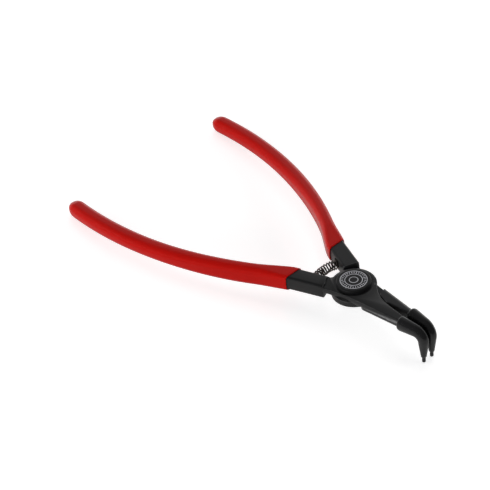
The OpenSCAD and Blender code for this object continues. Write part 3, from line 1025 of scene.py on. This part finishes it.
class PLIERS_OT_coats(bpy.types.Operator):
    """Model the dipped coats of the handles, each a sleeve with a closed rear end"""
    bl_idname = "pliers.add_coats"
    bl_label = "Coats"

    def execute(self, context):
        plastic = dipped_coat("dipped_coat")
        for name, mirrored, body in (("near_grip", True, NEAR), ("far_grip", False, FAR)):
            piece = self.coat(name + "_coat")
            set_down(piece, mirrored)
            dress(piece, plastic, body, name)
        return {"FINISHED"}

    def coat(self, name):
        h = settings("handle")
        piece = handle_bar(name, h.bare_l - COAT_SPARE, handle_end(), h.coat_t, COAT_RINGS)
        centre = handle_line(h.bare_l)[0]
        edit(piece)
        bpy.ops.mesh.bisect(plane_co=(centre.x, 0.0, 0.0), plane_no=(1.0, 0.0, 0.0),
                            clear_outer=True, use_fill=False)
        leave()
        modify(piece, "SOLIDIFY", thickness=h.coat_t - h.coat_gap, offset=-1.0,
               use_rim=True, use_even_offset=True)
        width, height = handle_section(h.bare_l, h.coat_t)[:2]

        def on_lip(point):
            if abs(point.x - centre.x) > LIP_NEAR:
                return False
            across = abs(point.y - centre.y) / (width / 2)
            up = abs(point.z) / (height / 2)
            return max(across, up) > LIP_SIDE or across + up > LIP_CORNER

        select_edges(piece, lambda a, b: on_lip(a) and on_lip(b))
        bpy.ops.mesh.bevel(offset=h.lip_round, segments=LIP_STEPS, affect="EDGES")
        leave()
        smooth(piece, sharpest=50.0, weight="CORNER_ANGLE")
        return piece


# Each lamp's name, place in metres, width, height and power in watts
LAMPS = (
    ("lamp_top", (-0.45, 0.50, 1.30), 0.9, 0.9, 3.0),
    ("lamp_left", (-1.10, -0.80, 0.45), 0.9, 0.6, 5.0),
    ("lamp_right", (0.95, 1.00, 0.50), 0.9, 0.6, 6.0),
    ("lamp_side", (-0.20, -1.50, 0.26), 2.0, 0.5, 22.0),
    ("lamp_far_side", (-0.10, 1.50, 0.26), 2.0, 0.5, 10.0),
)
# The floor's own light: as the camera sees it, over a distance in metres, and in reflections
FLOOR_GLOW, FLOOR_GLOW_OVER, FLOOR_GLOW_IN_GLOSS = (0.66, 1.0), (0.25, 0.90), 0.15
# The white panel behind: its way, where it begins, where it ends upwards and its light there
PANEL_WAY, PANEL_SIDES = (-0.72, 0.69, 0.0), (0.20, 0.80)
PANEL_HEIGHTS, PANEL_LIGHT, ROOM_LIGHT = (0.10, 0.50), (1.0, 0.25), 0.10


class PLIERS_OT_stage(bpy.types.Operator):
    """Set the camera, the pale floor and the soft lights"""
    bl_idname = "pliers.add_stage"
    bl_label = "Stage"

    def execute(self, context):
        g = settings("stage")
        scene = context.scene
        scene.view_settings.view_transform = "Standard"
        camera = bpy.data.cameras.new("camera")
        camera.lens = g.camera_lens
        camera.clip_start, camera.clip_end = 0.01, 20.0
        holder = bpy.data.objects.new("camera", camera)
        scene.collection.objects.link(holder)
        holder.matrix_world = (tool_to_row @ Matrix.Translation(g.camera_place)
                               @ Euler(g.camera_turn, "XYZ").to_matrix().to_4x4())
        scene.camera = holder
        deselect()
        bpy.ops.mesh.primitive_plane_add(size=g.floor_size)
        floor = context.object
        floor.name = "floor"
        floor.data.materials.append(self.floor_finish())
        self.light_world(scene)
        for name, place, width, height, power in LAMPS:
            lamp = bpy.data.lights.new(name, "AREA")
            lamp.shape = "RECTANGLE"
            lamp.size, lamp.size_y = width, height
            lamp.energy = power
            stand = bpy.data.objects.new(name, lamp)
            stand.location = place
            stand.rotation_euler = (-Vector(place)).to_track_quat("-Z", "Y").to_euler()
            stand.visible_glossy = False
            scene.collection.objects.link(stand)
        return {"FINISHED"}

    def floor_finish(self):
        """White where the camera sees it, with the shadows of the pliers."""
        made, tree, shader = material("white_table")
        rays = node(tree, "ShaderNodeLightPath")
        away = node(tree, "ShaderNodeVectorMath", {0: object_place(tree)}, operation="LENGTH")
        far_out = map_range(tree, away.outputs["Value"], FLOOR_GLOW_OVER, FLOOR_GLOW,
                            "SMOOTHSTEP")
        in_view = maths(tree, "MULTIPLY", rays.outputs["Is Camera Ray"], far_out)
        in_gloss = maths(tree, "MULTIPLY", rays.outputs["Is Glossy Ray"], FLOOR_GLOW_IN_GLOSS)
        plug(tree, shader, {"Base Color": (0.76, 0.75, 0.73, 1.0), "Roughness": 0.14,
                            "Specular IOR Level": 0.5,
                            "Emission Color": (0.98, 0.985, 1.0, 1.0),
                            "Emission Strength": maths(tree, "MAXIMUM", in_view, in_gloss)})
        return made

    def light_world(self, scene):
        """A dim room with a white panel behind; the camera sees white all over."""
        world = bpy.data.worlds.new("soft_room")
        world.use_nodes = True
        scene.world = world
        tree = world.node_tree
        way = node(tree, "ShaderNodeTexCoord").outputs["Generated"]
        split = node(tree, "ShaderNodeSeparateXYZ", {"Vector": way})
        behind = node(tree, "ShaderNodeVectorMath", {0: way, 1: PANEL_WAY},
                      operation="DOT_PRODUCT")
        panel = map_range(tree, behind.outputs["Value"], PANEL_SIDES, kind="SMOOTHSTEP")
        height = map_range(tree, split.outputs["Z"], PANEL_HEIGHTS, PANEL_LIGHT, "SMOOTHSTEP")
        room = maths(tree, "MULTIPLY_ADD", panel, height, ROOM_LIGHT)
        rays = node(tree, "ShaderNodeLightPath")
        plug(tree, tree.nodes["Background"], {
            "Color": (1.0, 1.0, 1.0, 1.0),
            "Strength": maths(tree, "MAXIMUM", rays.outputs["Is Camera Ray"], room)})


class PLIERS_PT_panel(bpy.types.Panel):
    """Sizes and finishes of the pliers, and the steps that build them"""
    bl_idname = "PLIERS_PT_panel"
    bl_label = "Circlip Pliers"
    bl_space_type = "VIEW_3D"
    bl_region_type = "UI"
    bl_category = "Pliers"

    def draw(self, context):
        for name, label, _, step in GROUPS:
            box = self.layout.box()
            box.label(text=label)
            group = settings(name)
            for prop in type(group).__annotations__:
                box.prop(group, prop)
            if step:
                box.operator(step.bl_idname)


GROUPS = (
    ("lever", "Levers", LeverSizes, PLIERS_OT_levers),
    ("tip", "Tips", TipSizes, None),
    ("handle", "Coats", HandleSizes, PLIERS_OT_coats),
    ("rivet", "Rivet", RivetSizes, PLIERS_OT_rivet),
    ("spring", "Spring", SpringSizes, PLIERS_OT_spring),
    ("finish", "Finishes", Finishes, None),
    ("stage", "Stage", StageSizes, PLIERS_OT_stage),
)
CLASSES = (*(sizes for _, _, sizes, _ in GROUPS), *(step for *_, step in GROUPS if step),
           PLIERS_PT_panel)


def register():
    for kind in CLASSES:
        bpy.utils.register_class(kind)
    for name, _, sizes, _ in GROUPS:
        setattr(bpy.types.Scene, "pliers_" + name, PointerProperty(type=sizes))


def unregister():
    for name, *_ in GROUPS:
        delattr(bpy.types.Scene, "pliers_" + name)
    for kind in reversed(CLASSES):
        bpy.utils.unregister_class(kind)


def main():
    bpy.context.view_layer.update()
    register()
    grain_group()
    edge_group()
    bpy.ops.pliers.add_levers()
    bpy.ops.pliers.add_rivet()
    bpy.ops.pliers.add_spring()
    bpy.ops.pliers.add_coats()
    bpy.ops.pliers.add_stage()


if __name__ == "__main__":
    main()
